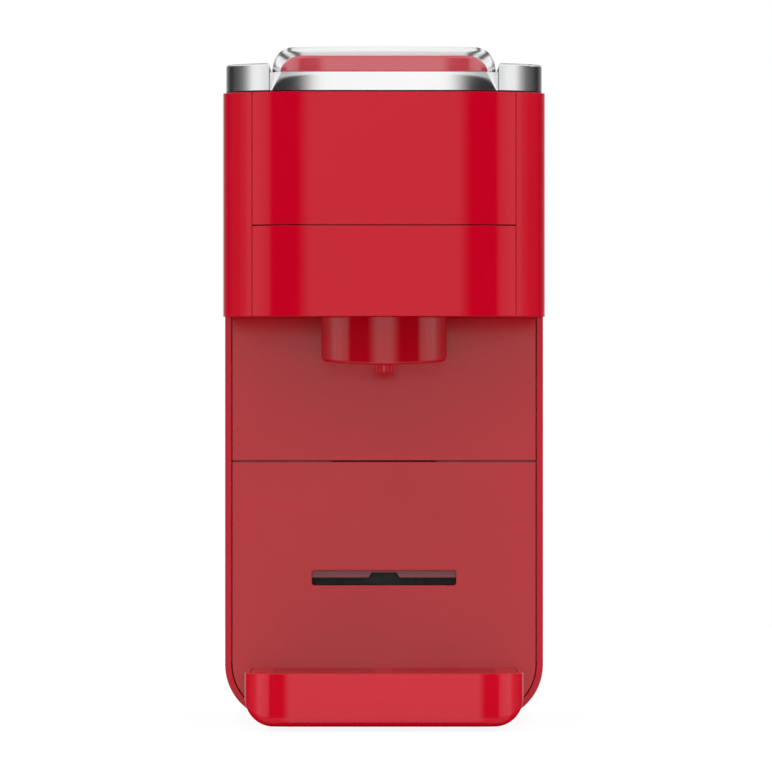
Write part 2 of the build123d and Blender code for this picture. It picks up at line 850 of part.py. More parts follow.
# Brew carriage: capsule cage on the guide rods, side plates with the crank pins' yokes, and the feed tube
yoke_height = crank_radius - crank_rise + crank_pin_diameter + 2 * yoke_end_gap
yoke_width = crank_pin_diameter + 2 * yoke_side_gap
yoke_middle = pivot_height + (crank_radius + crank_rise) / 2
yoke_top = yoke_middle + yoke_height / 2 + yoke_wall
yoke_bottom = yoke_middle - yoke_height / 2 - yoke_wall
with BuildPart() as brew_carriage:
    with BuildSketch(front_view(cage_front)):
        with Locations((0, brew_axis_height)):
            Circle(capsule_flange_diameter / 2 + cage_rim)
        with Locations((0, rod_height)):
            Rectangle(2 * (side_plate_spread + side_plate_thickness), web_height)
        with Locations((-rod_spread, rod_height), (rod_spread, rod_height)):
            Circle(rod_diameter / 2 + pin_gap, mode=Mode.SUBTRACT)
    extrude(amount=-cage_length)
    with BuildSketch(side_view(side_plate_spread)):
        with BuildLine():
            yoke_front = crank_y - yoke_width / 2 - yoke_wall
            yoke_back = crank_y + yoke_width / 2 + yoke_wall
            Polyline(
                (cage_front, rod_height + web_height / 2),
                (cage_back, rod_height + web_height / 2),
                (yoke_back, yoke_bottom),
                (yoke_back, yoke_top),
                (yoke_front, yoke_top),
                (yoke_front, yoke_bottom),
                close=True,
            )
        make_face()
        with Locations((crank_y, yoke_middle)):
            Rectangle(yoke_width, yoke_height, mode=Mode.SUBTRACT)
    extrude(amount=side_plate_thickness)
    mirror(about=Plane.YZ)
    with BuildSketch(front_view(cage_back)):
        with Locations((0, brew_axis_height)):
            Circle(feed_tube_diameter / 2)
    extrude(amount=-feed_tube_length)
    with BuildSketch(front_view(cage_front)):
        with Locations((0, brew_axis_height)):
            Circle(capsule_body_diameter / 2)
    with BuildSketch(front_view(cage_front + capsule_depth)):
        with Locations((0, brew_axis_height)):
            Circle(capsule_tip_diameter / 2)
    loft(mode=Mode.SUBTRACT)

# Feed gland on the frame's cross plate: the carriage's feed tube slides in its bore
gland_front = cage_back + carriage_travel + gland_front_gap
gland_back = cage_back + feed_tube_length + carriage_travel + 2 * gland_front_gap
with BuildPart() as feed_gland:
    with BuildSketch(front_view(gland_front)):
        with Locations((0, brew_axis_height)):
            Circle(gland_diameter / 2)
    extrude(amount=gland_front - gland_back)
    with BuildSketch(front_view(frame_back)):
        with Locations((0, brew_axis_height)):
            Circle(gland_flange_diameter / 2)
    extrude(amount=-gland_flange_thickness)
    with BuildSketch(front_view(gland_front)):
        with Locations((0, brew_axis_height)):
            Circle(feed_tube_diameter / 2 + feed_tube_gap)
    extrude(amount=gland_front - gland_back + gland_front_gap, mode=Mode.SUBTRACT)

# Boiler with the hot pipe up to the gland
pipe_y = gland_back - hot_pipe_diameter / 2
boiler_top = boiler_bottom + boiler_height
with BuildPart() as boiler:
    with BuildSketch(Plane.XY.offset(boiler_bottom)):
        with Locations((0, boiler_back)):
            Rectangle(boiler_width, boiler_depth, align=(Align.CENTER, Align.MAX))
    extrude(amount=boiler_height)
    fillet(boiler.edges().filter_by(Axis.Z), radius=boiler_edge_radius)

with BuildPart() as hot_pipe:
    with BuildSketch(Plane.XY.offset(boiler_top)):
        with Locations((0, pipe_y)):
            Circle(hot_pipe_diameter / 2)
    extrude(amount=brew_axis_height - gland_diameter / 2 - boiler_top)

# Pump on its rubber mount, with the pressure hose straight up into the boiler
with BuildPart() as pump_mount:
    with BuildSketch(Plane.XY.offset(z_floor)):
        with Locations((pump_x, pump_y)):
            Circle(mount_diameter / 2)
    extrude(amount=mount_height)

with BuildPart() as pump:
    with BuildSketch(Plane.XY.offset(pump_bottom)):
        with Locations((pump_x, pump_y)):
            Circle(pump_diameter / 2)
    extrude(amount=pump_height)
    with BuildSketch(Plane.XY.offset(pump_top)):
        with Locations((pump_x, pump_y)):
            Circle(nipple_diameter / 2)
    extrude(amount=nipple_length)

with BuildPart() as pressure_hose:
    with BuildSketch(Plane.XY.offset(pump_top + nipple_length)):
        with Locations((pump_x, pump_y)):
            Circle(nipple_diameter / 2)
    extrude(amount=pressure_hose_length)

with BuildPart() as flow_meter:
    with BuildSketch(Plane.XY.offset(z_floor)):
        with Locations((meter_x, pump_y)):
            Circle(meter_diameter / 2)
    extrude(amount=meter_height)

# Suction hose from the tank's socket to the flow meter
with BuildPart() as suction_hose:
    hose_z = z_floor + meter_height / 2
    with BuildLine() as hose_route:
        FilletPolyline(
            (0, socket_y - socket_diameter / 2, hose_z),
            (0, y_rear, hose_z),
            (meter_x, y_rear_inside, hose_z),
            (meter_x, pump_y + meter_diameter / 2, hose_z),
            radius=hose_diameter,
        )
    with BuildSketch(Plane(origin=hose_route.line @ 0, z_dir=hose_route.line % 0)):
        Circle(hose_diameter / 2)
    sweep()

# Chute from the brew unit down to the bin, held off the column panel by two ribs
with BuildPart() as chute:
    chute_front = extraction_y + inlet_gap
    chute_back = inlet_back
    with BuildSketch(Plane.XY.offset(chute_bottom)):
        with Locations((0, (chute_front + chute_back) / 2)):
            Rectangle(chute_width + 2 * chute_wall, chute_back - chute_front + 2 * chute_wall)
            Rectangle(chute_width, chute_back - chute_front, mode=Mode.SUBTRACT)
        with Locations((-chute_width / 4, y_panel_back), (chute_width / 4, y_panel_back)):
            Rectangle(chute_wall, chute_front - chute_wall - y_panel_back, align=(Align.CENTER, Align.MIN))
    extrude(amount=frame_bottom - seam - chute_bottom)

# Outlet duct from the extraction head down to the spout's tube
duct_top = frame_bottom + duct_mouth_height
with BuildPart() as outlet_duct:
    with BuildSketch(side_view(-duct_half_width)):
        with BuildLine():
            Polyline(
                (frame_front, frame_bottom),
                (frame_front, duct_top),
                (tip_y - duct_half_width, floor_top + duct_half_width),
                (tip_y - duct_half_width, floor_top),
                (tip_y + duct_half_width, floor_top),
                close=True,
            )
        make_face()
    extrude(amount=2 * duct_half_width)
    with BuildSketch(side_view(duct_wall - duct_half_width)):
        with BuildLine():
            Polyline(
                (frame_front, frame_bottom + duct_wall),
                (frame_front, duct_top - duct_wall),
                (tip_y - duct_half_width + duct_wall, floor_top + duct_half_width - duct_wall),
                (tip_y - duct_half_width + duct_wall, floor_top + duct_wall),
                (tip_y + duct_half_width, floor_top + duct_wall),
                close=True,
            )
        make_face()
    extrude(amount=2 * (duct_half_width - duct_wall), mode=Mode.SUBTRACT)
    with BuildSketch(Plane.XY.offset(floor_top)):
        with Locations((0, tip_y)):
            Circle(tip_bore / 2)
    extrude(amount=duct_wall, mode=Mode.SUBTRACT)

# Spout housing under the head: hollow, with a belly that is lowest in the middle
with BuildPart() as spout_housing:
    with BuildSketch(Plane.XY.offset(spout_bottom - 2 * spout_belly)) as spout_plan:
        with BuildLine():
            spout_front = y_column - spout_reach
            sides = RadiusArc(
                (-spout_half_width, spout_front + spout_corner_radius / 2),
                (spout_half_width, spout_front + spout_corner_radius / 2),
                -spout_front_radius,
            )
            Polyline(sides @ 1, (spout_half_width, y_column), (-spout_half_width, y_column), sides @ 0)
        make_face()
        front_corners = spout_plan.vertices().group_by(Axis.Y)[0]
        fillet(front_corners, radius=spout_corner_radius)
    extrude(amount=spout_height + 2 * spout_belly)
    with BuildSketch(front_view(y_front)) as belly_view:
        with BuildLine():
            belly = ThreePointArc(
                (-spout_half_width, spout_bottom),
                (0, spout_bottom - spout_belly),
                (spout_half_width, spout_bottom),
            )
            Polyline(belly @ 1, (spout_half_width, head_bottom), (-spout_half_width, head_bottom), belly @ 0)
        make_face()
        fillet(belly_view.vertices().group_by(Axis.Y)[0], radius=spout_lower_radius)
    extrude(amount=-overhang, mode=Mode.INTERSECT)
    belly_edges = spout_housing.faces().sort_by(Axis.Z)[0].edges().sort_by(Axis.Y)
    fillet(belly_edges[0], radius=spout_edge_radius)
    with BuildSketch(Plane.XY.offset(spout_bottom + spout_wall)):
        add(spout_plan.sketch_local)
        offset(amount=-spout_wall)
    extrude(amount=spout_height - spout_wall, mode=Mode.SUBTRACT)
    with BuildSketch(Plane.XY.offset(spout_bottom - 2 * spout_belly)):
        with Locations((0, tip_y)):
            Circle(tip_tube_diameter / 2 + slide_gap)
    extrude(amount=spout_height, mode=Mode.SUBTRACT)

# Spout tip: a tube down from the duct that ends in a fluted nozzle
with BuildPart() as spout_tip:
    tip_shoulder = spout_bottom - spout_belly
    with BuildSketch(Plane.XY.offset(tip_shoulder)):
        with Locations((0, tip_y)):
            Circle(tip_tube_diameter / 2)
    extrude(amount=floor_top - tip_shoulder)
    with BuildSketch(Plane.XY.offset(tip_shoulder)):
        with Locations((0, tip_y)):
            Circle(tip_diameter / 2)
            with PolarLocations(tip_diameter / 2, tip_flutes, start_angle=180 / tip_flutes):
                Circle(tip_flute_diameter / 2, mode=Mode.SUBTRACT)
    extrude(amount=-tip_drop, taper=tip_taper)
    with BuildSketch(Plane.XY.offset(tip_shoulder - tip_drop)):
        with Locations((0, tip_y)):
            Circle(tip_bore / 2)
    extrude(amount=tip_drop + floor_top - tip_shoulder, mode=Mode.SUBTRACT)

# Drawer front: the lower column panel, with two hook slots
slot_heights = (slot_centre_height, lower_slot_height)
with BuildPart() as drawer_front:
    with BuildSketch(front_view(y_column)):
        add(column_section(shell_wall + seam, drawer_seam - drawer_gap / 2))
        for slot_z in slot_heights:
            with Locations((0, slot_z)):
                RectangleRounded(slot_width, slot_height, slot_corner_radius, mode=Mode.SUBTRACT)
    extrude(amount=-panel_thickness)
    # Lip across the upper half of each slot, notched in the middle
    with BuildSketch(front_view(y_column + slot_lip_setback)):
        for slot_z in slot_heights:
            with Locations((0, slot_z)):
                Rectangle(slot_width, slot_height / 2, align=(Align.CENTER, Align.MIN))
                Trapezoid(
                    slot_notch_width,
                    slot_notch_height,
                    slot_notch_angle,
                    align=(Align.CENTER, Align.MIN),
                    mode=Mode.SUBTRACT,
                )
    extrude(amount=-slot_lip_thickness)

# Capsule bin behind the drawer front, open on top, its lower corners round like the shells'. Two pockets on
# its front wall stand behind the slots
bin_front = y_column + slot_depth + bin_wall
bin_inset = shell_wall + rail_height + slide_gap
with BuildPart() as capsule_bin:
    with BuildSketch(front_view(bin_front)):
        add(column_section(bin_inset, bin_top))
    extrude(amount=-bin_depth)
    with BuildSketch(front_view(bin_front + bin_wall)):
        add(column_section(bin_inset + bin_wall, bin_top))
    extrude(amount=2 * bin_wall - bin_depth, mode=Mode.SUBTRACT)
    with BuildSketch(front_view(y_panel_back)):
        for slot_z in slot_heights:
            with Locations((0, slot_z)):
                Rectangle(slot_width + 2 * bin_wall, slot_height + 2 * bin_wall)
                Rectangle(slot_width, slot_height, mode=Mode.SUBTRACT)
    extrude(amount=y_panel_back - bin_front)

# Drip tray with a ledge for the grid and a flat hook behind. Its sides turn under in a large round, and its
# front meets the underside in a smaller one
with BuildPart() as tray_hollow:
    with BuildSketch(Plane.XY.offset(foot_height + tray_floor)):
        add(tray_plan(tray_rim + tray_ledge))
    extrude(amount=tray_height)
    fillet(tray_hollow.faces().sort_by(Axis.Z)[0].edges(), radius=tray_inner_radius)

with BuildPart() as drip_tray:
    with BuildSketch(front_view(y_front)):
        add(round_section(tray_width / 2, foot_height, tray_top, tray_bottom_radius))
    extrude(amount=y_front - tray_back)
    with BuildSketch(Plane.XY.offset(foot_height)):
        add(tray_plan(0))
    extrude(amount=tray_height, mode=Mode.INTERSECT)
    front_face = drip_tray.faces().filter_by(GeomType.PLANE).sort_by(Axis.Y)[0]
    fillet(front_face.edges().sort_by(Axis.Z)[0], radius=tray_front_radius)
    with BuildSketch(Plane.XY.offset(tray_top)):
        add(tray_plan(tray_rim))
    extrude(amount=-grid_thickness - slide_gap, mode=Mode.SUBTRACT)
    add(tray_hollow.part, mode=Mode.SUBTRACT)
    with BuildSketch(Plane.XY.offset(hook_bottom)):
        with Locations((0, tray_back)):
            Rectangle(
                slot_width - 2 * hook_side_gap,
                slot_depth + seam - hook_side_gap,
                align=(Align.CENTER, Align.MIN),
            )
    extrude(amount=hook_thickness)

# Drip grid: a plate with two banks of cross slots either side of a middle rib
with BuildPart() as drip_grid:
    with BuildSketch(Plane.XY.offset(tray_top - grid_thickness)):
        add(tray_plan(tray_rim + slide_gap))
        grid_middle = (y_front + tray_back) / 2
        slot_length = tray_width / 2 - tray_rim - grid_slot_margin - grid_rib / 2
        slot_rows = int((tray_back - y_front - 2 * (tray_rim + grid_slot_margin)) / grid_slot_pitch)
        with Locations((0, grid_middle)):
            with GridLocations(slot_length + grid_rib, grid_slot_pitch, 2, slot_rows):
                SlotOverall(slot_length, grid_slot_width, mode=Mode.SUBTRACT)
    extrude(amount=grid_thickness)

# Water tank on the cradle, with two ears for the lid
lid_axis_y = tank_front + tank_wall + lid_thickness / 2
lid_axis_z = lid_bottom + lid_thickness / 2
with BuildPart() as water_tank:
    tank_half = tank_width / 2
    with BuildSketch(Plane.XY.offset(tank_bottom)):
        add(tank_plan(tank_half, tank_front, y_back, tank_corner_radius))
    extrude(amount=tank_top - tank_bottom)
    with BuildSketch(Plane.XY.offset(tank_bottom + tank_wall)):
        add(
            tank_plan(
                tank_half - tank_wall,
                tank_front + tank_wall,
                y_back - tank_wall,
                tank_corner_radius - tank_wall,
            )
        )
    extrude(amount=tank_top - tank_bottom, mode=Mode.SUBTRACT)
    with BuildSketch(side_view(tank_half - ear_thickness)):
        with Locations((tank_front, tank_top)):
            Rectangle(ear_depth, ear_height, align=(Align.MIN, Align.MIN))
        with Locations((lid_axis_y, lid_axis_z)):
            Circle(lid_pin_diameter / 2, mode=Mode.SUBTRACT)
    extrude(amount=ear_thickness)
    mirror(about=Plane.YZ)
    with BuildSketch(Plane.XY.offset(tank_bottom)):
        with Locations((0, socket_y)):
            Circle(valve_diameter / 4)
    extrude(amount=tank_wall, mode=Mode.SUBTRACT)

with BuildPart() as tank_valve:
    with BuildSketch(Plane.XY.offset(tank_bottom)):
        with Locations((0, socket_y)):
            Circle(valve_diameter / 2)
            Circle(valve_diameter / 4, mode=Mode.SUBTRACT)
    extrude(amount=-valve_length)

with BuildPart() as tank_socket:
    with BuildSketch(Plane.XY.offset(cradle_top)):
        with Locations((0, socket_y)):
            Circle(socket_diameter / 2)
    extrude(amount=-socket_depth)
    with BuildSketch(Plane.XY.offset(cradle_top)):
        with Locations((0, socket_y)):
            Circle(valve_diameter / 2 + valve_gap)
    extrude(amount=-valve_length - valve_gap, mode=Mode.SUBTRACT)

# Tank lid between the ears, its front edge round about the hinge pins
with BuildPart() as tank_lid:
    lid_half = tank_half - ear_thickness - slide_gap
    with BuildSketch(Plane.XY.offset(lid_bottom)):
        add(tank_plan(lid_half, lid_axis_y, y_back, tank_corner_radius))
    extrude(amount=lid_thickness)
    with BuildSketch(side_view(-lid_half)):
        with Locations((lid_axis_y, lid_axis_z)):
            Circle(lid_thickness / 2)
    extrude(amount=2 * lid_half)
    with BuildSketch(side_view(-tank_half)):
        with Locations((lid_axis_y, lid_axis_z)):
            Circle(lid_pin_diameter / 2 + pin_gap)
    extrude(amount=tank_width, mode=Mode.SUBTRACT)
    # Finger ridge along the back edge
    with BuildSketch(Plane.XY.offset(lid_bottom + lid_thickness)):
        with Locations((0, y_back - lid_tab_depth)):
            RectangleRounded(lid_tab_width, lid_tab_depth, lid_tab_height)
    extrude(amount=lid_tab_height)

with BuildPart() as lid_pins:
    with BuildSketch(side_view(tank_half)):
        with Locations((lid_axis_y, lid_axis_z)):
            Circle(lid_pin_diameter / 2)
    extrude(amount=-ear_depth)
    mirror(about=Plane.YZ)

# Power rocker and cord gland in the cradle's back wall
with BuildPart() as power_rocker:
    with BuildSketch(front_view(y_back - rocker_gap)):
        with Locations((rocker_x, rocker_z)):
            Rectangle(rocker_width, rocker_height)
    extrude(amount=rocker_depth)

with BuildPart() as cord_gland:
    with BuildSketch(front_view(y_back)):
        with Locations((cord_gland_x, rocker_z)):
            Circle(cord_gland_diameter / 2)
            Circle(cord_bore / 2, mode=Mode.SUBTRACT)
    extrude(amount=cord_gland_diameter / 2)

nodes = {
    "base_plate": base_plate,
    "rubber_feet": rubber_feet,
    "left_shell": left_shell,
    "right_shell": right_shell,
    "rear_cover": rear_cover,
    "column_panel": column_panel,
    **front_panels,
    "head_floor": head_floor,
    "top_deck": top_deck,
    "top_cover": top_cover,
    **buttons,
    "control_board": control_board,
    "lever_body": lever_body,
    "lever_grip": lever_grip,
    "lever_arms": lever_arms,
    "pivot_pins": pivot_pins,
    "brew_frame": brew_frame,
    "frame_screws": frame_screws,
    "extraction_head": extraction_head,
    "extraction_plate": extraction_plate,
    "guide_rods": guide_rods,
    "brew_carriage": brew_carriage,
    "feed_gland": feed_gland,
    "boiler": boiler,
    "hot_pipe": hot_pipe,
    "pump_mount": pump_mount,
    "pump": pump,
    "pressure_hose": pressure_hose,
    "flow_meter": flow_meter,
    "suction_hose": suction_hose,
    "chute": chute,
    "outlet_duct": outlet_duct,
    "spout_housing": spout_housing,
    "spout_tip": spout_tip,
    "drawer_front": drawer_front,
    "capsule_bin": capsule_bin,
    "drip_tray": drip_tray,
    "drip_grid": drip_grid,
    "water_tank": water_tank,
    "tank_valve": tank_valve,
    "tank_socket": tank_socket,
    "tank_lid": tank_lid,
    "lid_pins": lid_pins,
    "power_rocker": power_rocker,
    "cord_gland": cord_gland,
}
for node_name, node in nodes.items():
    node.part.label = node_name
    export_step(node.part, f"parts/{node_name}.step")
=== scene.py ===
import json
import math

import bmesh
import bpy
import numpy as np
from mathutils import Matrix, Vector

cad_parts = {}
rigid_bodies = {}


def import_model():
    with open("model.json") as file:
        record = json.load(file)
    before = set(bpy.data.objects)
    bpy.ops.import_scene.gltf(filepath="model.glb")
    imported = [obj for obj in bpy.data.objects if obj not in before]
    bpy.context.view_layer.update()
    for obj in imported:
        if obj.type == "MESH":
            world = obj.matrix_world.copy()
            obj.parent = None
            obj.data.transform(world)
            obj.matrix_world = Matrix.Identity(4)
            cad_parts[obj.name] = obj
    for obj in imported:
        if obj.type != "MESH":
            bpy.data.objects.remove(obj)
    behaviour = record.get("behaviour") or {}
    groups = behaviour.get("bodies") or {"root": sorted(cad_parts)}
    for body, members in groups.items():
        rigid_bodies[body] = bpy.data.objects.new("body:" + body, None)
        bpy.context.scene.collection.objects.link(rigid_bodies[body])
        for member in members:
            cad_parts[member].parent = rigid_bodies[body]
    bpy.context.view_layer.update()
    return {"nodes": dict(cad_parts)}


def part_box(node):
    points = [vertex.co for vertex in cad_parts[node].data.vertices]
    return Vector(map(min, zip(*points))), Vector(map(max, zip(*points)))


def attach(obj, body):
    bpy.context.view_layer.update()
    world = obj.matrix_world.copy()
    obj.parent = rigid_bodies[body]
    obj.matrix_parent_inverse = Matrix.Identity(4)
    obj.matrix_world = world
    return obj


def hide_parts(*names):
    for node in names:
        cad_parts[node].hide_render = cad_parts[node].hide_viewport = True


for leftover in list(bpy.data.objects):
    bpy.data.objects.remove(leftover)
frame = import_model()

# Base plate, rear cover, deck and the small black mouldings behind and inside. They are injection moulded
# in black plastic with a fine sparked grain, and the base and the rear cover close the space between the
# shells. The power rocker, which tilts in the back wall of the base's tank cradle, is polished.
mm = 0.001
micron = 0.001 * mm
noise_low, noise_high = 0.3, 0.7


def ink(red, green, blue):
    """Linear colour of an sRGB triple written as 0 to 255, by the usual gamma curve."""
    c = np.array((red, green, blue)) / 255
    return (*np.where(c <= 0.04045, c / 12.92, ((c + 0.055) / 1.055) ** 2.4), 1)


def node(tree, kind, inputs=(), **settings):
    """A shader node with its settings, and a value on, or an output linked to, each input that is given."""
    made = tree.nodes.new("ShaderNode" + kind)
    for setting, value in settings.items():
        setattr(made, setting, value)
    for socket, value in dict(inputs).items():
        if isinstance(value, bpy.types.NodeSocket):
            tree.links.new(value, made.inputs[socket])
        else:
            made.inputs[socket].default_value = value
    return made


def ramp(tree, value, stops, interpolation="LINEAR"):
    """A colour ramp over the value, through stops that each give a place from 0 to 1 and a colour."""
    made = node(tree, "ValToRGB", {"Fac": value})
    made.color_ramp.interpolation = interpolation
    elements = made.color_ramp.elements
    while len(elements) < len(stops):
        elements.new(0.5)
    for element, (place, colour) in zip(elements, stops):
        element.position = place
        element.color = colour
    return made


def new_finish(name, roughness, even=()):
    """A material with one Principled shader. Its usual roughness, and what is even all over it, stand on the
    shader's own sockets."""
    mat = bpy.data.materials.new(name)
    mat.use_nodes = True
    for socket, value in {"Roughness": roughness, **dict(even)}.items():
        mat.node_tree.nodes["Principled BSDF"].inputs[socket].default_value = value
    return mat


def cloud(mat, size, detail=2.0, stretch=(1, 1, 1)):
    """Noise in the piece's own coordinates, its lumps about size across, pulled by stretch on each axis."""
    tree = mat.node_tree
    place = node(tree, "TexCoord")
    turn = node(tree, "Mapping", {"Vector": place.outputs["Object"], "Scale": stretch})
    noise = node(tree, "TexNoise", {"Vector": turn.outputs["Vector"], "Scale": 1 / size, "Detail": detail})
    return noise.outputs["Fac"]


def tint(mat, noise, dark, light):
    """The noise runs the base colour from dark to light between its usual low and high values."""
    tree = mat.node_tree
    colours = ramp(tree, noise, ((noise_low, dark), (noise_high, light)))
    tree.links.new(colours.outputs["Color"], tree.nodes["Principled BSDF"].inputs["Base Color"])


def dull(mat, noise, low, high):
    """The noise runs the roughness from low to high between its usual low and high values."""
    tree = mat.node_tree
    limits = {"From Min": noise_low, "From Max": noise_high, "To Min": low, "To Max": high}
    span = node(tree, "MapRange", {"Value": noise, **limits})
    tree.links.new(span.outputs["Result"], tree.nodes["Principled BSDF"].inputs["Roughness"])


def grain(mat, noise, depth, edge, draft=0.0):
    """The noise raises the surface by up to depth, on normals that turn round each edge in a radius of edge.
    A draft turns upright faces up a little, by the slope at which they leave the mould."""
    tree = mat.node_tree
    normal = node(tree, "Bevel", {"Radius": edge}).outputs["Normal"]
    if draft:
        place = node(tree, "TexCoord")
        parts = node(tree, "SeparateXYZ", {"Vector": place.outputs["Object"]})
        rise = {"Strength": 1.0, "Distance": draft, "Height": parts.outputs["Z"], "Normal": normal}
        normal = node(tree, "Bump", rise, invert=True).outputs["Normal"]
    bump = node(tree, "Bump", {"Strength": 1.0, "Distance": depth, "Height": noise, "Normal": normal})
    tree.links.new(bump.outputs["Normal"], tree.nodes["Principled BSDF"].inputs["Normal"])


def dress(mat, *names):
    """Gives CAD nodes that keep their own shape this finish."""
    for name in names:
        mesh = frame["nodes"][name].data
        mesh.materials.clear()
        mesh.materials.append(mat)


black_moulding = new_finish("black_moulding", 0.45)
tint(black_moulding, cloud(black_moulding, 30 * mm), ink(25, 25, 27), ink(30, 30, 32))
dull(black_moulding, cloud(black_moulding, 2 * mm), low=0.4, high=0.5)
grain(black_moulding, cloud(black_moulding, 0.5 * mm, detail=3), depth=20 * micron, edge=0.5 * mm)
dress(
    black_moulding, "base_plate", "rear_cover", "top_deck", "capsule_bin", "chute", "outlet_duct",
    "extraction_head", "tank_socket", "cord_gland", "flow_meter", "feed_gland",
)
polished_black = new_finish("polished_black", 0.2)
tint(polished_black, cloud(polished_black, 20 * mm), ink(30, 30, 33), ink(36, 36, 39))
dull(polished_black, cloud(polished_black, 4 * mm), low=0.16, high=0.24)
grain(polished_black, cloud(polished_black, 2 * mm), depth=3 * micron, edge=0.8 * mm)
dress(polished_black, "power_rocker")

# Rubber feet, pump mount and hoses. Dark matt rubber with the slight bloom and pitting of the mould. The
# feet are stuck under the base plate and the mount on top of it, and the hoses run from the tank's socket to
# the flow meter and from the pump up to the boiler.
soft_rubber = new_finish("soft_rubber", 0.8, {"Specular IOR Level": 0.3})
tint(soft_rubber, cloud(soft_rubber, 5 * mm), ink(30, 29, 28), ink(44, 43, 42))
dull(soft_rubber, cloud(soft_rubber, 3 * mm), low=0.7, high=0.9)
grain(soft_rubber, cloud(soft_rubber, 0.4 * mm, detail=3), depth=50 * micron, edge=0.4 * mm)
dress(soft_rubber, "rubber_feet", "pump_mount", "pressure_hose", "suction_hose")

# Side shells and the two front panels of the head. High gloss red plastic in one moulding each; the panels
# snap in between the shells and leave the thin dark seams that the front shows.
gloss_red = new_finish("gloss_red", 0.07, {"Specular IOR Level": 0.33})
tint(gloss_red, cloud(gloss_red, 60 * mm), ink(202, 0, 33), ink(206, 1, 36))
dull(gloss_red, cloud(gloss_red, 10 * mm), low=0.06, high=0.09)
grain(gloss_red, cloud(gloss_red, 3 * mm), depth=2 * micron, edge=0.5 * mm)
dress(gloss_red, "left_shell", "right_shell", "lower_front_panel", "upper_front_panel")

# Column panel and drawer front. The same red, but with a satin face from a finely blasted mould and the
# slight draft that let them out of it. The drawer front has two slots for the tray's hook, and the lips in
# the slots, a little behind the face, are painted a darker red as painted shade for the shadow in the slots.
satin_red = new_finish("satin_red", 0.15, {"Specular IOR Level": 0.64})
tint(satin_red, cloud(satin_red, 50 * mm), ink(190, 3, 24), ink(196, 6, 28))
dull(satin_red, cloud(satin_red, 30 * mm), low=0.14, high=0.17)
grain(satin_red, cloud(satin_red, 3 * mm), depth=2 * micron, edge=0.5 * mm, draft=0.028)
dress(satin_red, "column_panel")
drawer_red = satin_red.copy()
drawer_red.name = "drawer_red"
drawer_tree = drawer_red.node_tree
# Painted shade in the slots: the base colour turns to a dull dark red from the face back to 1.2 mm behind
# it, and stays so further back.
lip_shade_begins, lip_shade_full = -57.8 * mm, -56.6 * mm
on_drawer = node(drawer_tree, "SeparateXYZ", {"Vector": node(drawer_tree, "TexCoord").outputs["Object"]})
lip_shade_limits = {"From Min": lip_shade_begins, "From Max": lip_shade_full}
shade_depth = node(drawer_tree, "MapRange", {"Value": on_drawer.outputs["Y"], **lip_shade_limits})
drawer_colour = drawer_tree.nodes["Principled BSDF"].inputs["Base Color"]
lip_shade_colours = {"A": drawer_colour.links[0].from_socket, "B": ink(128, 50, 56)}
slot_lip_shade = node(drawer_tree, "Mix", {"Factor": shade_depth.outputs["Result"], **lip_shade_colours}, data_type="RGBA")
drawer_tree.links.new(slot_lip_shade.outputs["Result"], drawer_colour)
dress(drawer_red, "drawer_front")

# Floor of the head, with the spout housing and the fluted tip under it. The floor is a plain matt red
# closing plate. The housing is fixed under it, and the tip is the end of a tube that comes down through it;
# both are polished mouldings.
floor_red = new_finish("floor_red", 0.9, {"Specular IOR Level": 0.1})
tint(floor_red, cloud(floor_red, 40 * mm), ink(188, 3, 24), ink(194, 6, 28))
dull(floor_red, cloud(floor_red, 10 * mm), low=0.85, high=0.95)
grain(floor_red, cloud(floor_red, 1 * mm, detail=3), depth=20 * micron, edge=0.4 * mm)
dress(floor_red, "head_floor")
# The housing's red is darker than the shells': painted shade for its place under the head.
spout_shaded_red = new_finish("spout_shaded_red", 0.08, {"Specular IOR Level": 0.64})
tint(spout_shaded_red, cloud(spout_shaded_red, 40 * mm), ink(180, 0, 22), ink(184, 2, 25))
dull(spout_shaded_red, cloud(spout_shaded_red, 10 * mm), low=0.07, high=0.1)
grain(spout_shaded_red, cloud(spout_shaded_red, 3 * mm), depth=2 * micron, edge=0.5 * mm)
dress(spout_shaded_red, "spout_housing")
tip_red = new_finish("tip_red", 0.1, {"Specular IOR Level": 0.6})
tint(tip_red, cloud(tip_red, 4 * mm), ink(212, 14, 36), ink(220, 20, 42))
dull(tip_red, cloud(tip_red, 2 * mm), low=0.08, high=0.14)
grain(tip_red, cloud(tip_red, 1 * mm), depth=2 * micron, edge=0.3 * mm)
dress(tip_red, "spout_tip")

# Brew frame, screws, rods, pins, lever arms, pipe and pump. Bright steel, brushed along the length of the
# machine. The frame is screwed to bosses of the shells, and the pump stands on its rubber mount.
bright_steel = new_finish("bright_steel", 0.3, {"Metallic": 1.0})
steel_shade = cloud(bright_steel, 4 * mm, detail=4, stretch=(1, 0.1, 1))
tint(bright_steel, steel_shade, ink(165, 166, 168), ink(196, 197, 198))
dull(bright_steel, cloud(bright_steel, 0.6 * mm, detail=3, stretch=(1, 0.05, 1)), low=0.22, high=0.4)
brushing = cloud(bright_steel, 0.5 * mm, stretch=(1, 0.04, 1))
grain(bright_steel, brushing, depth=6 * micron, edge=0.4 * mm)
dress(
    bright_steel, "lever_arms", "pivot_pins", "brew_frame", "frame_screws", "extraction_plate", "guide_rods",
    "hot_pipe", "lid_pins", "pump",
)

# Brew carriage and boiler. Die cast aluminium, grey and slightly pebbled, with no machining outside the
# bores. The carriage slides on the two rods, and the boiler is held by bosses of the rear cover.
cast_metal = new_finish("cast_metal", 0.5, {"Metallic": 1.0})
tint(cast_metal, cloud(cast_metal, 6 * mm, detail=3), ink(138, 139, 140), ink(170, 170, 171))
dull(cast_metal, cloud(cast_metal, 2 * mm, detail=3), low=0.4, high=0.6)
grain(cast_metal, cloud(cast_metal, 1 * mm, detail=4), depth=60 * micron, edge=0.8 * mm)
dress(cast_metal, "brew_carriage", "boiler")

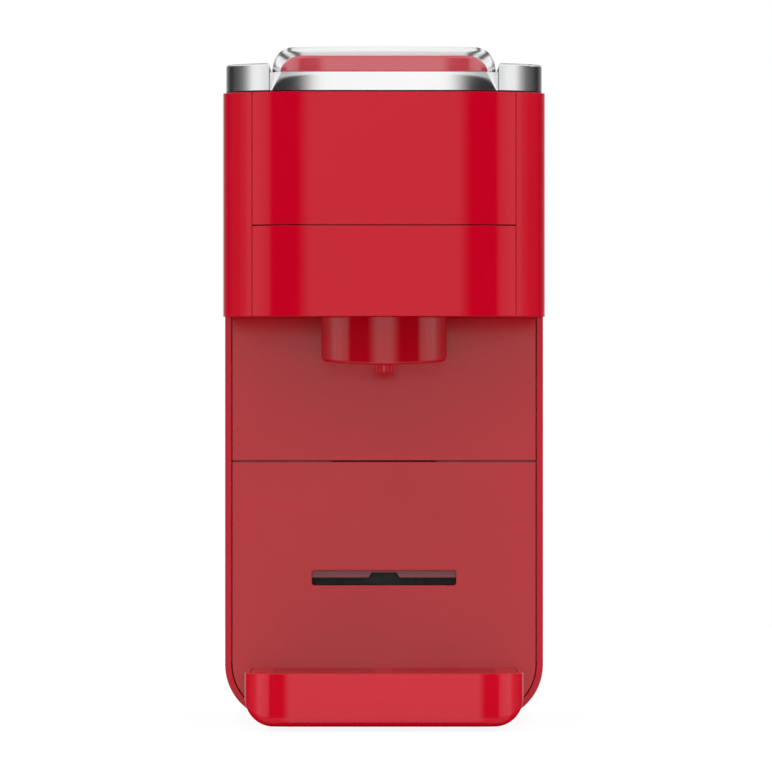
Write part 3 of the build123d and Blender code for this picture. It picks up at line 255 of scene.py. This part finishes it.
# Control board under the buttons. Green solder mask over the faint relief of copper tracks, which mostly
# run along the machine. It lies on the deck.
board_mask = new_finish("board_mask", 0.35)
mask_shade = cloud(board_mask, 2 * mm, detail=1, stretch=(1, 0.3, 1))
tint(board_mask, mask_shade, ink(14, 70, 38), ink(30, 104, 58))
dull(board_mask, cloud(board_mask, 3 * mm), low=0.3, high=0.45)
tracks = cloud(board_mask, 1.5 * mm, detail=0, stretch=(1, 0.3, 1))
grain(board_mask, tracks, depth=30 * micron, edge=0.2 * mm)
dress(board_mask, "control_board")

# Top cover: one chromed cap with two arms beside the lever and a bridge behind it, seated on a flange of the
# deck. Bright plating on plastic, so it mirrors the room with only a trace of waviness.
plated_chrome = new_finish("plated_chrome", 0.2, {"Metallic": 1.0})
tint(plated_chrome, cloud(plated_chrome, 30 * mm), ink(247, 248, 249), ink(251, 251, 252))
dull(plated_chrome, cloud(plated_chrome, 8 * mm), low=0.19, high=0.21)
grain(plated_chrome, cloud(plated_chrome, 14 * mm, detail=1), depth=1.2 * micron, edge=0.2 * mm)
dress(plated_chrome, "top_cover")

# Lever: a hollow chromed hood that rises behind the grip, with a flared chin under its front edge. It is die
# cast and plated, and two steel side arms carry it down through the deck to the pivots.
lever_half = 45 * mm
lever_rear = -20 * mm
lever_foot = 257 * mm
hood_front = -133 * mm
hood_front_round, hood_rear_round = 13 * mm, 9 * mm
hood_shoulder = 8 * mm
hood_wall = 2.6 * mm
crown_lengths = np.array([-20, -112, -133]) * mm
crown_heights = np.array([266, 275.2, 272.2]) * mm
crown_camber = 0.6 * mm
corner_steps, shoulder_steps, crown_steps = 14, 14, 16
outline_step, spine_step = 3 * mm, 4 * mm
chin_front = -149 * mm
chin_back = hood_front + 9 * mm
chin_top = 264.4 * mm
chin_slope = 4 * mm
chin_flat_half, chin_fall = 20 * mm, 140 * mm
flare_begins, flare_length = 24 * mm, 19 * mm
flare_middle, flare_more = 0.5 * mm, 0.6 * mm
flare_power, flare_power_drop = 10, 8
chin_columns, chin_rows = 91, 25
cheek_half = lever_half + 0.85 * mm
crease = math.radians(35)


def rounded(corners, radii, steps):
    """Outline of a polygon with round corners. At each corner the outward normal swings from one edge's to
    the next one's, and the point lies on that normal from the arc's centre. Rows of polygons may be
    given."""
    corners, radii = np.asarray(corners, float), np.asarray(radii, float)[..., None]
    along = np.roll(corners, -1, -2) - corners
    along = along / np.linalg.norm(along, axis=-1, keepdims=True)
    leave = np.stack([along[..., 1], -along[..., 0]], -1)
    meet = np.roll(leave, 1, -2)
    cosine = np.clip((leave * meet).sum(-1, keepdims=True), -1, 1)
    centre = corners - radii * (leave + meet) / (1 + cosine)
    angle = np.arccos(cosine)[..., None]
    share = np.linspace(0, 1, steps + 1)[:, None]
    swing = np.sin((1 - share) * angle) * meet[..., None, :] + np.sin(share * angle) * leave[..., None, :]
    swing = swing / np.maximum(np.sin(angle), 1e-9)
    points = centre[..., None, :] + radii[..., None] * swing
    shape = (*corners.shape[:-2], -1, 2)
    return points.reshape(shape), swing.reshape(shape)


def evenly(outline, out, step):
    """The same closed outline with points put in along it, so that no stretch is longer than step."""
    loop = np.concatenate([np.concatenate([outline, out], -1), [[*outline[0], *out[0]]]])
    way = np.concatenate([[0], np.cumsum(np.linalg.norm(np.diff(loop[:, :2], axis=0), axis=1))])
    at = np.union1d(way[:-1], np.arange(0, way[-1], step))
    points = np.stack([np.interp(at, way, value) for value in loop.T], -1)
    return points[:, :2], points[:, 2:]


def capped(loops):
    """The loops with one more row before and after them, at the middle of the first and the last loop."""
    middles = np.broadcast_to(loops[[0, -1]].mean(1, keepdims=True), (2, *loops.shape[1:]))
    return np.concatenate([middles[:1], loops, middles[1:]])


def skin(name, grid, mat, body, replaced, wall=0.0):
    """Mesh over a grid of points whose rows are loops: each four neighbours make a face, and points that
    fall together at seams and poles are merged. A wall, where given, thickens it inwards."""
    index = np.arange(grid.shape[0] * grid.shape[1]).reshape(grid.shape[:2])
    beside = np.roll(index, -1, 1)
    faces = np.stack([index[:-1], beside[:-1], beside[1:], index[1:]], -1).reshape(-1, 4)
    mesh = bpy.data.meshes.new(name)
    mesh.from_pydata(grid.reshape(-1, 3).tolist(), [], faces.tolist())
    work = bmesh.new()
    work.from_mesh(mesh)
    bmesh.ops.remove_doubles(work, verts=work.verts, dist=1e-7)
    bmesh.ops.recalc_face_normals(work, faces=work.faces)
    work.to_mesh(mesh)
    work.free()
    mesh.shade_smooth()
    mesh.set_sharp_from_angle(angle=crease)
    mesh.materials.append(mat)
    piece = bpy.data.objects.new(name, mesh)
    bpy.context.scene.collection.objects.link(piece)
    if wall:
        thicken = piece.modifiers.new("wall", "SOLIDIFY")
        thicken.thickness = wall
        thicken.offset = -1
        thicken.use_even_offset = True
    even = piece.modifiers.new("even", "WEIGHTED_NORMAL")
    even.keep_sharp = True
    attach(piece, body)
    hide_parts(replaced)


def hood_crown(x, y):
    """Height of the hood: a parabola over its length through rear edge, peak and grip, less a slight camber
    that grows as the square of the distance from the middle."""
    return np.polyval(np.polyfit(crown_lengths, crown_heights, 2), y) - crown_camber * (x / lever_half) ** 2


def hood_skin():
    """Hood over a round cornered plan: a straight wall, a quarter round shoulder under the crown, then the
    crown in to a spine along the middle, whose points both sides share. Each height is the crown's over its
    point."""
    corners = [
        (-lever_half, hood_front), (lever_half, hood_front),
        (lever_half, lever_rear), (-lever_half, lever_rear),
    ]
    radii = [hood_front_round, hood_front_round, hood_rear_round, hood_rear_round]
    outline, out = evenly(*rounded(corners, radii, corner_steps), outline_step)
    lift = np.linspace(0, math.pi / 2, shoulder_steps + 1)[:, None]
    inset = np.concatenate([[[0]], hood_shoulder * (1 - np.cos(lift))])
    plan = outline - inset[..., None] * out
    along = np.clip(plan[-1, :, 1], hood_front + lever_half, lever_rear - lever_half)
    spine = np.stack([0 * along, np.round(along / spine_step) * spine_step], -1)
    share = np.linspace(0, 1, crown_steps + 1)[1:, None, None]
    plan = np.concatenate([plan, plan[-1] + share * (spine - plan[-1])])
    drop = np.concatenate([hood_shoulder * (1 - np.sin(lift)), np.zeros((crown_steps, 1))])
    height = hood_crown(plan[1:, :, 0], plan[1:, :, 1]) - drop
    height = np.concatenate([np.full((1, height.shape[1]), lever_foot), height])
    return np.concatenate([plan, height[..., None]], -1)


def chin_skin():
    """Chin carried along the width: its section is a front that stands upright and flares out to a lip by a
    power of the height, and the whole front falls back towards the ends on a flat arc. The ends slant in
    with the height, and from there a cheek runs out and back at half a right angle, close to the cover's
    arm."""
    across = np.sin(np.linspace(-math.pi / 2, math.pi / 2, chin_columns))[:, None]
    up = np.concatenate([np.linspace(0, 1, chin_rows), [1, 0]])[None]
    x = across * (lever_half - chin_slope * up)
    end = np.clip((np.abs(x) - flare_begins) / flare_length, 0, 1)
    fall = np.maximum(np.abs(x) - chin_flat_half, 0) ** 2 / chin_fall
    flare = (flare_middle + flare_more * end**3) * (1 - up ** (flare_power - flare_power_drop * end**2))
    y = chin_front + fall + flare
    y[:, -2:] = chin_back
    z = lever_foot + (chin_top - lever_foot) * np.broadcast_to(up, x.shape)
    loops = np.stack([x, y, z], -1)
    cheeks = loops[[0, -1]]
    cheeks[..., 1] += cheek_half - np.abs(cheeks[..., 0])
    cheeks[..., 0] = np.array([[-cheek_half], [cheek_half]])
    return capped(np.concatenate([cheeks[:1], loops, cheeks[1:]]))


skin("lever_hood", hood_skin(), plated_chrome, "lever", "lever_body", wall=hood_wall)
skin("lever_chin", chin_skin(), plated_chrome, "lever", "lever_body")

# Grip: a red bar over the chin with round upper corners and a slightly bowed face. It is pressed on the
# lever's front edge, and its lacquer is paler and glossier than the shells'.
grip_red = new_finish("grip_red", 0.17, {"Specular IOR Level": 1.0, "Coat Weight": 1.0})
tint(grip_red, cloud(grip_red, 30 * mm), ink(200, 58, 72), ink(204, 63, 77))
dull(grip_red, cloud(grip_red, 6 * mm), low=0.14, high=0.2)
grain(grip_red, cloud(grip_red, 2 * mm), depth=2 * micron, edge=0.4 * mm)
grip_half = 41.6 * mm
grip_front = -150 * mm
grip_back = hood_front + 0.5 * mm
grip_top = 270.9 * mm
grip_height = grip_top - chin_top
grip_end_round, grip_end_height = 9 * mm, 0.5 * mm
grip_flat_half, grip_bow = 21 * mm, 26 * mm
grip_lean = 0.6 * mm
grip_edge, grip_edge_most = 1.2 * mm, 0.4
grip_edge_shares = np.array([0.5, 0.3, 0.3, 1.0])
grip_columns, grip_edge_steps = 81, 6


def grip_skin():
    """Bar carried along the width: a section with a leaning front and soft edges, whose height falls to the
    ends in a quarter ellipse and whose front falls back on an arc."""
    across = np.sin(np.linspace(-math.pi / 2, math.pi / 2, grip_columns)) * grip_half
    past = np.maximum(np.abs(across) - (grip_half - grip_end_round), 0) / grip_end_round
    tall = np.maximum(grip_height * np.sqrt(1 - past**2), grip_end_height)
    bowed = np.maximum(np.abs(across) - grip_flat_half, 0)
    front = grip_front + (grip_bow - np.sqrt(grip_bow**2 - bowed**2))
    back = np.full_like(front, grip_back)
    low = np.full_like(front, chin_top)
    high = chin_top + tall
    lean = grip_lean * tall / grip_height
    depths = np.stack([front, back, back, front + lean], -1)
    heights = np.stack([low, low, high, high], -1)
    edge = np.minimum(grip_edge, tall * grip_edge_most)
    radii = edge[:, None] * grip_edge_shares
    section, _ = rounded(np.stack([depths, heights], -1), radii, grip_edge_steps)
    x = np.broadcast_to(across[:, None, None], (*section.shape[:2], 1))
    return capped(np.concatenate([x, section], -1))


skin("lever_grip_bar", grip_skin(), grip_red, "lever", "lever_grip")

# Brew buttons in the bridge. Grey plastic caps with a soft matt dished face, each on a stem above the board;
# a small or a large raised dot tells the short cup from the long one by touch.
button_plastic = new_finish("button_plastic", 0.4)
tint(button_plastic, cloud(button_plastic, 6 * mm), ink(70, 72, 75), ink(84, 86, 89))
dull(button_plastic, cloud(button_plastic, 2 * mm), low=0.32, high=0.48)
grain(button_plastic, cloud(button_plastic, 0.5 * mm, detail=3), depth=30 * micron, edge=0.3 * mm)
stem_radius, stem_length = 2 * mm, 3 * mm
cap_edge, cap_chamfer = 0.9 * mm, 0.4 * mm
dish_depth = 0.8 * mm
dot_height, dot_blend = 0.25 * mm, 0.12 * mm
short_dot, long_dot = 1.1 * mm, 2.4 * mm
edge_points, dish_points, spokes = 9, 40, 64


def button_skin(name, dot):
    """Cap and stem turned about an upright line: the profile goes out under the stem, up to the cap, round
    its edge in a quarter circle and in over a dish that falls as the square of the radius to a raised dot,
    whose side is a logistic curve."""
    low, high = (np.array(corner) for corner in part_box(name))
    cap, top = (high[0] - low[0]) / 2, high[2]
    under = low[2] + stem_length
    bend = np.linspace(0, math.pi / 2, edge_points)
    over = np.linspace(cap - cap_edge, 0, dish_points)
    dish = top - dish_depth * (1 - (over / over[0]) ** 2)
    dish = dish + dot_height / (1 + np.exp((over - dot) / dot_blend))
    rim, crest = cap - cap_edge + cap_edge * np.cos(bend), top - cap_edge + cap_edge * np.sin(bend)
    radius = np.concatenate([[0, stem_radius, stem_radius, cap - cap_chamfer, cap], rim, over[1:]])
    level = np.concatenate([[low[2], low[2], under, under, under + cap_chamfer], crest, dish[1:]])
    angle = np.linspace(0, 2 * math.pi, spokes + 1)[:-1]
    x = (low[0] + high[0]) / 2 + radius[:, None] * np.cos(angle)
    y = (low[1] + high[1]) / 2 + radius[:, None] * np.sin(angle)
    return np.stack([x, y, np.broadcast_to(level[:, None], x.shape)], -1)


short_grid = button_skin("short_button", short_dot)
skin("short_cap", short_grid, button_plastic, "button_left", "short_button")
long_grid = button_skin("long_button", long_dot)
skin("long_cap", long_grid, button_plastic, "button_right", "long_button")

# Drip tray and its grid. The tray is a gloss red tub that hooks into the drawer front, and the satin grid
# lies on its ledge and lifts off.
# The tray's red is a little lighter than the shells': painted light for its open front, which nothing
# shades.
tray_lit_red = new_finish("tray_lit_red", 0.07, {"Specular IOR Level": 0.48})
tint(tray_lit_red, cloud(tray_lit_red, 50 * mm), ink(215, 7, 38), ink(219, 10, 42))
dull(tray_lit_red, cloud(tray_lit_red, 10 * mm), low=0.06, high=0.09)
grain(tray_lit_red, cloud(tray_lit_red, 3 * mm), depth=2 * micron, edge=0.5 * mm)
dress(tray_lit_red, "drip_tray")
dress(satin_red, "drip_grid")

# Water tank with its valve and lid. Clear moulded plastic that lifts off the cradle, and a smoke grey lid
# that turns on two pins in the tank's ears.
moulding_ior = 1.49
clear_moulding = new_finish("clear_moulding", 0.04, {"Transmission Weight": 1.0, "IOR": moulding_ior})
tint(clear_moulding, cloud(clear_moulding, 50 * mm), ink(236, 242, 244), ink(246, 249, 250))
dull(clear_moulding, cloud(clear_moulding, 20 * mm), low=0.02, high=0.06)
grain(clear_moulding, cloud(clear_moulding, 20 * mm, detail=1), depth=4 * micron, edge=0.5 * mm)
dress(clear_moulding, "water_tank", "tank_valve")
smoke_moulding = new_finish("smoke_moulding", 0.15, {"Transmission Weight": 0.75, "IOR": moulding_ior})
tint(smoke_moulding, cloud(smoke_moulding, 30 * mm), ink(62, 64, 68), ink(78, 80, 84))
dull(smoke_moulding, cloud(smoke_moulding, 10 * mm), low=0.1, high=0.2)
grain(smoke_moulding, cloud(smoke_moulding, 2 * mm), depth=6 * micron, edge=0.5 * mm)
dress(smoke_moulding, "tank_lid")

# Floor under the machine: a wide plain white sheet. It shines back white to the camera, and a part of its
# light is taken away where the machine shades it.
paper_reach = 1.6
paper_white, paper_shaded, paper_glow = 0.8, 0.14, 0.9


def grey(level, alpha=1):
    """A grey colour of that level."""
    return (level, level, level, alpha)


def figured(tree, operation, first, second=0.0):
    """Output of a Math node on two numbers or outputs."""
    return node(tree, "Math", {0: first, 1: second}, operation=operation).outputs[0]


floor_mesh = bpy.data.meshes.new("floor")
floor_corners = [(x * paper_reach, y * paper_reach, 0) for x, y in ((-1, -1), (1, -1), (1, 1), (-1, 1))]
floor_mesh.from_pydata(floor_corners, [], [(0, 1, 2, 3)])
floor = bpy.data.objects.new("floor", floor_mesh)
bpy.context.scene.collection.objects.link(floor)
paper = bpy.data.materials.new("paper_floor")
paper.use_nodes = True
sheet = paper.node_tree
sheet.nodes.clear()
plain = node(sheet, "BsdfDiffuse", {"Color": grey(paper_white)})
thin = node(sheet, "BsdfDiffuse", {"Color": grey(paper_shaded)})
glow = node(sheet, "Emission", {"Strength": paper_glow})
bright = node(sheet, "AddShader", {0: thin.outputs[0], 1: glow.outputs[0]})
ray = node(sheet, "LightPath").outputs
direct = figured(sheet, "MAXIMUM", ray["Is Camera Ray"], ray["Is Transmission Ray"])
paper_face = node(sheet, "MixShader", {"Fac": direct, 1: plain.outputs[0], 2: bright.outputs[0]})
node(sheet, "OutputMaterial", {"Surface": paper_face.outputs[0]})
floor_mesh.materials.append(paper)
floor.visible_glossy = False

# Light: a white room, which matt surfaces see plain and dimmer in front. Glossy surfaces see its panels,
# which stand round the machine at set bearings with dark gaps between them, a ceiling with two gaps towards
# the back, and a floor that is bright in front. One wide lamp in front fills the overhang.
half_turn, quarter_turn = 180, 90
panel_levels = (
    (0, 1.0), (8, 1.0), (29, 0.0), (57, 0.0), (66, 0.75), (78, 0.95), (90, 0.95), (104, 0.32), (113, 0.13),
    (124, 0.08), (142, 0.015), (156, 0.12), (166, 0.4), (178, 1.0),
)
height_levels = (
    (-0.96, 0.0, 1), (-0.88, 1.0, 1), (-0.28, 1.0, 1), (-0.19, 1.0, 0), (0.18, 1.0, 0), (0.36, 1.0, 1),
    (0.6, 0.84, 1), (1.0, 0.72, 1),
)
ceiling_gaps = ((48, 0), (53, 1), (60, 1), (65, 0), (72, 0), (76, 1), (82, 1), (86, 0))
gaps_begin, gaps_full, gaps_most = 95 / half_turn, 115 / half_turn, 0.92
floor_shades = ((12, 0.0), (40, 0.65), (95, 0.65), (115, 1.0))
floor_begins, floor_full = -0.03, -0.1
front_begins, front_full = 0.4, 0.95
room_level, front_level = 1.15, 0.6
world = bpy.data.worlds.new("studio")
bpy.context.scene.world = world
world.use_nodes = True
world.cycles.sampling_method = "NONE"
studio = world.node_tree
studio.nodes.clear()


def blended(share, first, second):
    """The first colour mixed with the second one by that share."""
    colours = {"Factor": share, "A": first, "B": second}
    return node(studio, "Mix", colours, data_type="RGBA").outputs["Result"]


def spread(value, begins, full, low=0.0, high=1.0, kind="LINEAR"):
    """The value carried from the stretch between begins and full to the one between low and high."""
    limits = {"From Min": begins, "From Max": full, "To Min": low, "To Max": high}
    return node(studio, "MapRange", {"Value": value, **limits}, interpolation_type=kind).outputs["Result"]


toward = node(studio, "SeparateXYZ", {"Vector": node(studio, "TexCoord").outputs["Generated"]}).outputs
ahead = figured(studio, "MULTIPLY", toward["Y"], -1.0)
bearing = figured(studio, "ABSOLUTE", figured(studio, "ARCTAN2", toward["X"], ahead))
turn = figured(studio, "DIVIDE", bearing, math.pi)
panels = ramp(studio, turn, [(angle / half_turn, grey(level)) for angle, level in panel_levels], "EASE")
height = spread(toward["Z"], -1.0, 1.0)
levels = ramp(studio, height, [((sine + 1) / 2, grey(level, share)) for sine, level, share in height_levels])
room = blended(levels.outputs["Alpha"], panels.outputs["Color"], levels.outputs["Color"])
steepness = figured(studio, "ARCTAN2", toward["Z"], figured(studio, "ABSOLUTE", toward["X"]))
slant = figured(studio, "DIVIDE", steepness, math.pi / 2)
gaps = ramp(studio, slant, [(angle / quarter_turn, grey(shade)) for angle, shade in ceiling_gaps])
behind = spread(turn, gaps_begin, gaps_full, high=gaps_most)
room = blended(figured(studio, "MULTIPLY", gaps.outputs["Color"], behind), room, grey(0))
below = spread(toward["Z"], floor_begins, floor_full)
shades = ramp(studio, turn, [(angle / half_turn, grey(shade)) for angle, shade in floor_shades])
room = blended(figured(studio, "MULTIPLY", below, shades.outputs["Color"]), room, grey(0))
open_front = spread(ahead, front_begins, front_full, room_level, front_level, "SMOOTHSTEP")
white = node(studio, "Background", {"Color": grey(1)})
mirrored = node(studio, "Background", {"Color": room})
shown = node(studio, "Background", {"Color": open_front})
ray = node(studio, "LightPath").outputs
for kind, view in (("Is Glossy Ray", mirrored), ("Is Transmission Ray", white), ("Is Camera Ray", white)):
    shown = node(studio, "MixShader", {"Fac": ray[kind], 1: shown.outputs[0], 2: view.outputs[0]})
node(studio, "OutputWorld", {"Surface": shown.outputs[0]})
fill = bpy.data.lights.new("front_fill", "AREA")
fill.shape = "SQUARE"
fill.size = 1.6
fill.energy = 4.0
fill_lamp = bpy.data.objects.new("front_fill", fill)
fill_lamp.location = (0, -2.0, 1.6)
fill_lamp.rotation_euler = (math.radians(54), 0, 0)
fill_lamp.visible_glossy = False
fill_lamp.visible_camera = False
bpy.context.scene.collection.objects.link(fill_lamp)

# Camera: level with the middle of the machine and far in front of it, with a long lens, so that the front
# shows almost without perspective.
lens = bpy.data.cameras.new("camera")
lens.sensor_width = 36.0
lens.lens = 489.4
lens.clip_end = 100.0
camera = bpy.data.objects.new("camera", lens)
camera.location = (0.0008, -4.35, 0.1385)
camera.rotation_euler = (math.radians(90), 0, 0)
bpy.context.scene.collection.objects.link(camera)
bpy.context.scene.camera = camera
bpy.context.scene.view_settings.view_transform = "Standard"
